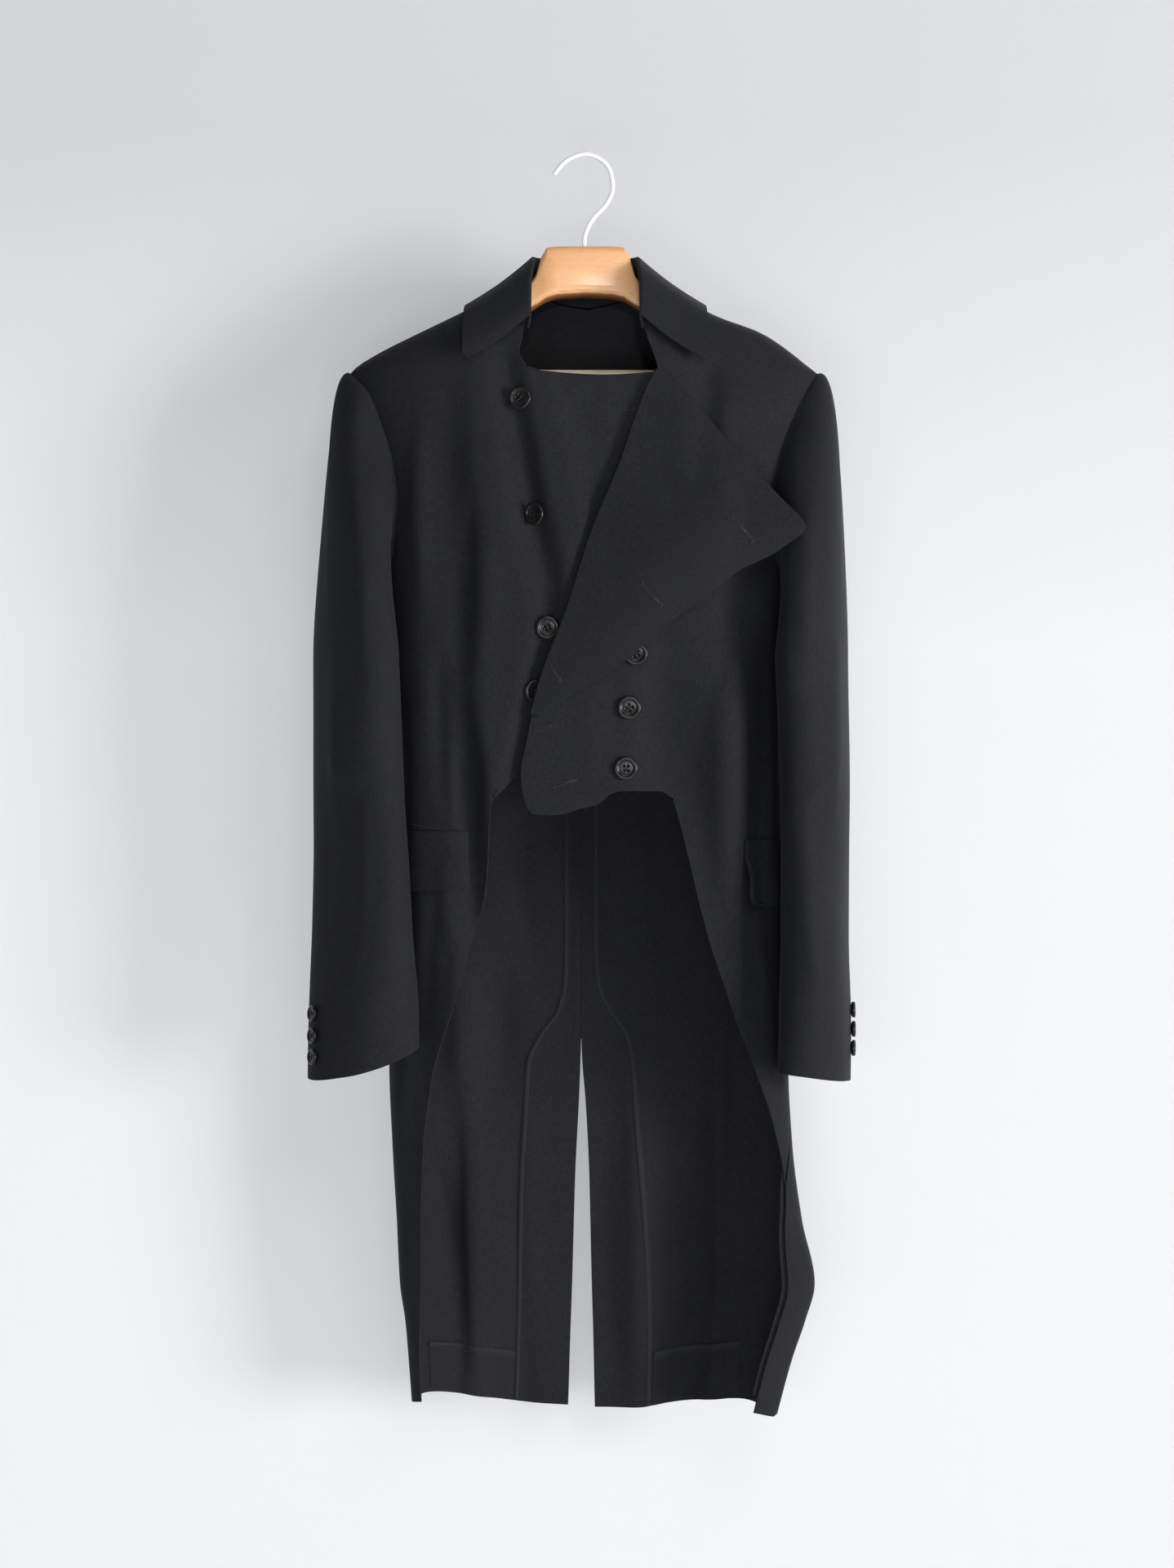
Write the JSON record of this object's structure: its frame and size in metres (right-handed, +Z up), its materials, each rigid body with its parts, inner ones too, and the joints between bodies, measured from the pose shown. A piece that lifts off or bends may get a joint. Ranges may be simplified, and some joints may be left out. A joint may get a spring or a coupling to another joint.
{
  "type": "tailcoat on a wooden hanger",
  "caption": "Dark double-breasted tailcoat with a fold-down collar, cut-away front, vented tails and one overlap turned back, hanging on a wooden hanger.",
  "frame": {"origin": "the inner top of the hook, where it hangs on a rail", "axes": "+Z up, the coat's front faces -Y, the wearer's left is at +X"},
  "size_m": [0.5051, 0.1711, 1.1802],
  "materials": {
    "wool": "matte black fine worsted",
    "wool_inside": "matte black fine worsted, inner side",
    "horn": "polished black",
    "beech": "satin varnish",
    "pale_wood": "bare, fine",
    "brown_plug": "stained",
    "white_wire": "white enamel"
  },
  "bodies": {
    "root": {"back_left": "wool", "back_right": "wool", "button_left_1": "horn", "button_left_2": "horn", "button_left_3": "horn", "button_right_1": "horn", "button_right_2": "horn", "button_right_3": "horn", "button_right_4": "horn", "button_right_5": "horn", "collar": "wool", "cuff_button_left_1": "horn", "cuff_button_left_2": "horn", "cuff_button_left_3": "horn", "cuff_button_right_1": "horn", "cuff_button_right_2": "horn", "cuff_button_right_3": "horn", "facing_left": "wool_inside", "front_left": "wool", "front_right": "wool", "hanger_bar": "pale_wood", "hanger_body": "beech", "hanger_hook": "white_wire", "hanger_plug": "brown_plug", "hem_facing_left": "wool_inside", "hem_facing_right": "wool_inside", "pocket_flap_left": "wool", "pocket_flap_right": "wool", "pocket_welt_left": "wool", "pocket_welt_right": "wool", "sleeve_top_left": "wool", "sleeve_top_right": "wool", "sleeve_under_left": "wool", "sleeve_under_right": "wool", "vent_facing_left": "wool_inside", "vent_facing_right": "wool_inside"}
  },
  "joints": []
}
